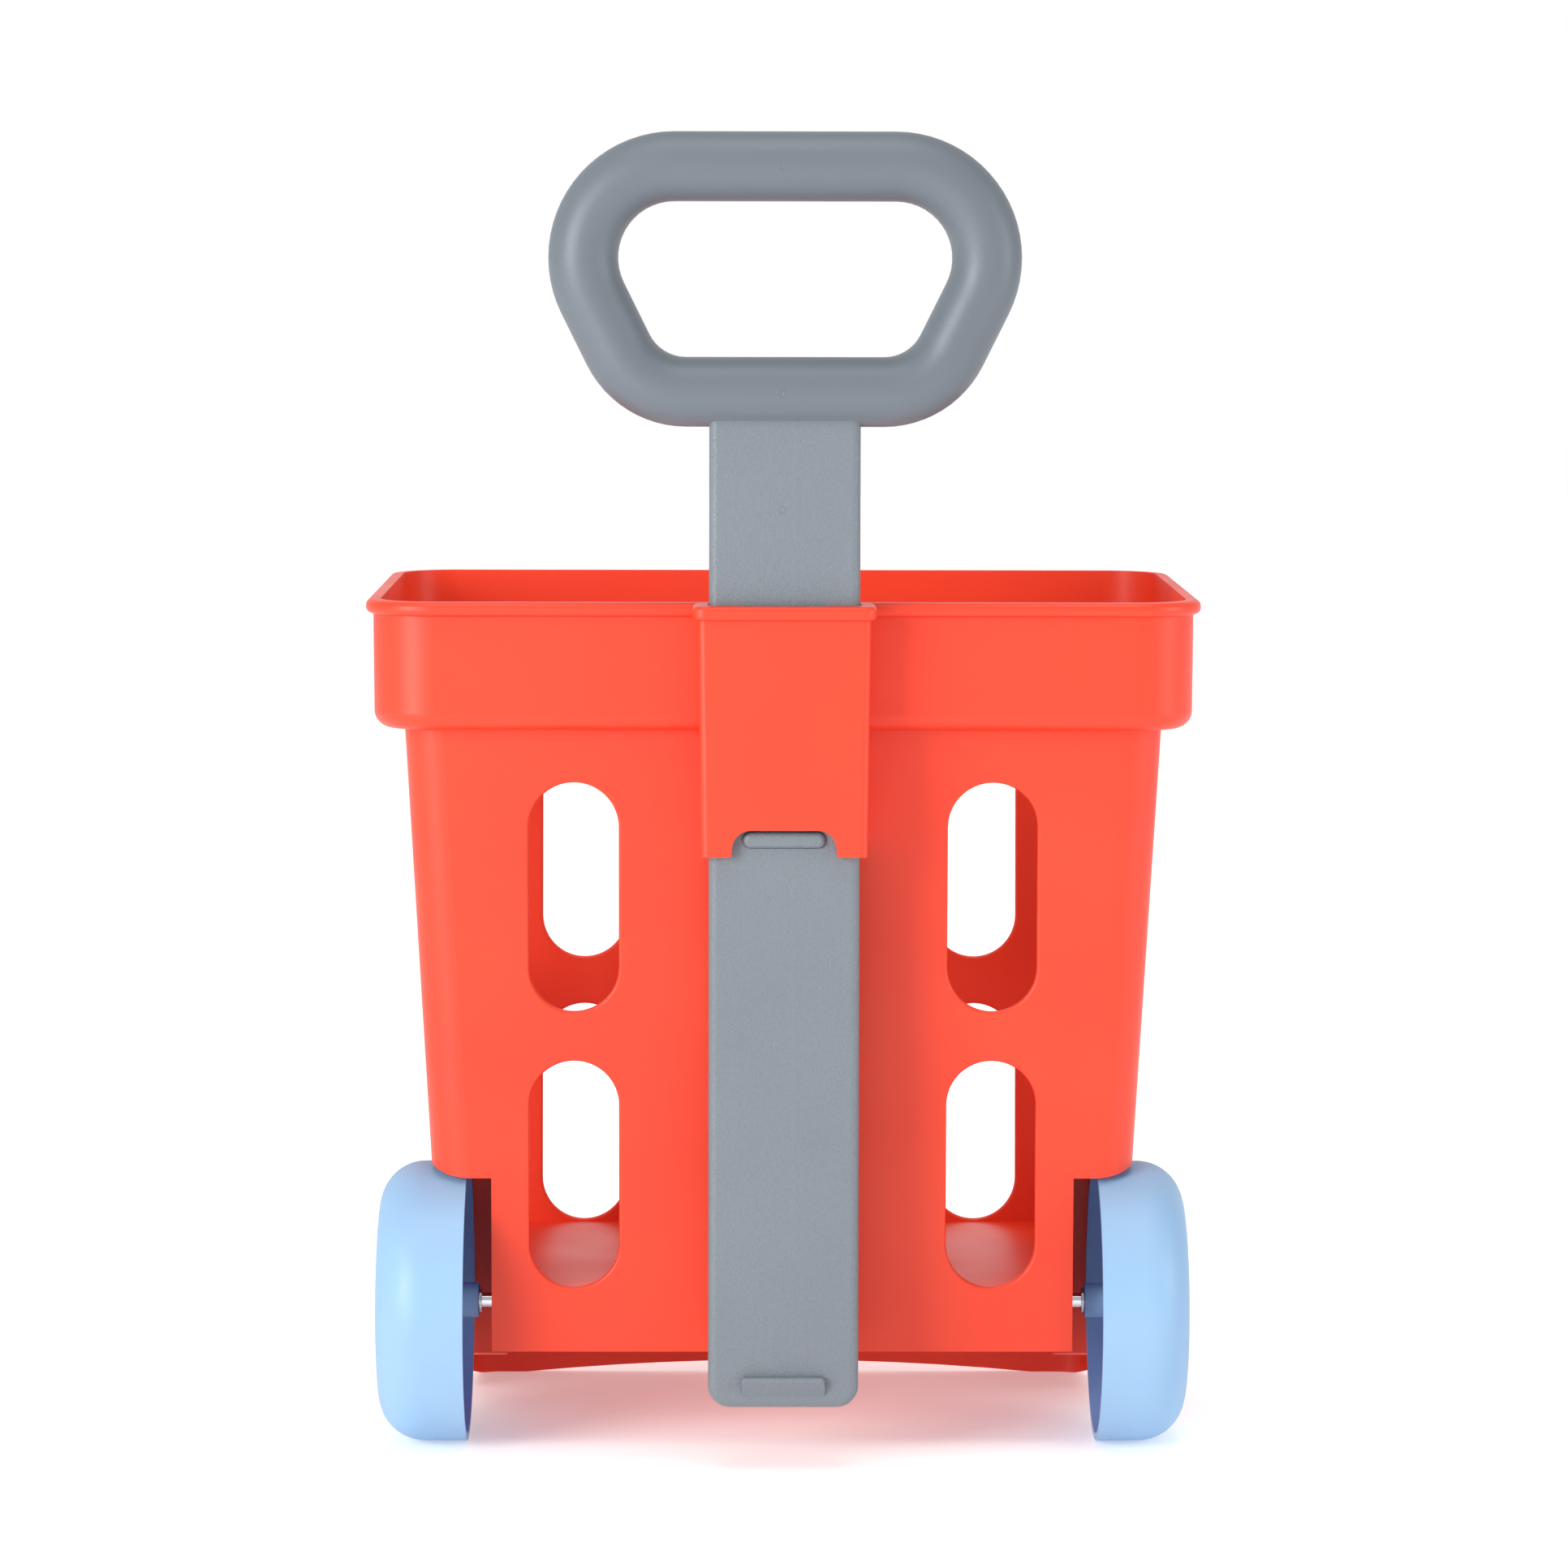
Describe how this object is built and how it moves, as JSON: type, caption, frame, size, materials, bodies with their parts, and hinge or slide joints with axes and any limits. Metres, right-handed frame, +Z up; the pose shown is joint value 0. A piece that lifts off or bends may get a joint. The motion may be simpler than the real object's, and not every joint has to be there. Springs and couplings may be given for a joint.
{
  "type": "toy shopping trolley",
  "caption": "Small moulded shopping basket on wheels with slotted walls, a wide collar and a pull-up loop handle held by a spring catch",
  "frame": {"origin": "centre of the trolley's footprint on the floor, handle pushed down", "axes": "+Z up, the handle side faces -Y, the basket's feet are towards +Y, X is along the axle"},
  "size_m": [0.292, 0.21, 0.4635],
  "materials": {
    "basket_plastic": "satin moulded coral red",
    "handle_plastic": "fine-grained moulded blue-grey",
    "wheel_plastic": "satin moulded light blue",
    "axle_steel": "bright plated rod",
    "fastener_steel": "zinc plated",
    "spring_steel": "plain spring strip"
  },
  "bodies": {
    "root": {"basket": "basket_plastic", "handle_sleeve": "basket_plastic", "axle_rod": "axle_steel", "left_axle_clip": "fastener_steel", "right_axle_clip": "fastener_steel", "left_hub_clip": "fastener_steel", "right_hub_clip": "fastener_steel", "left_axle_washer": "fastener_steel", "right_axle_washer": "fastener_steel", "left_axle_nut": "fastener_steel", "right_axle_nut": "fastener_steel"},
    "handle": {"handle_back_shell": "handle_plastic", "handle_front_shell": "handle_plastic", "handle_screws": "fastener_steel", "left_catch_spring": "spring_steel", "right_catch_spring": "spring_steel"},
    "catch": {"catch_button": "handle_plastic"},
    "left_wheel_body": {"left_wheel": "wheel_plastic", "left_hub_cap": "wheel_plastic"},
    "right_wheel_body": {"right_wheel": "wheel_plastic", "right_hub_cap": "wheel_plastic"}
  },
  "joints": [
    {"name": "handle_slide", "type": "slide", "parent": "root", "child": "handle", "axis": [0, 0, 1], "range_m": [0, 0.189]},
    {"name": "catch_press", "type": "slide", "parent": "handle", "child": "catch", "axis": [0, 1, 0], "range_m": [0, 0.0026], "stiffness_N_per_m": 400, "springref_m": -0.003, "deforming": ["left_catch_spring", "right_catch_spring"]},
    {"name": "left_wheel_spin", "type": "hinge", "parent": "root", "child": "left_wheel_body", "pos_m": [-0.1273, -0.041, 0.0495], "axis": [1, 0, 0], "continuous": true},
    {"name": "right_wheel_spin", "type": "hinge", "parent": "root", "child": "right_wheel_body", "pos_m": [0.1273, -0.041, 0.0495], "axis": [1, 0, 0], "continuous": true}
  ]
}
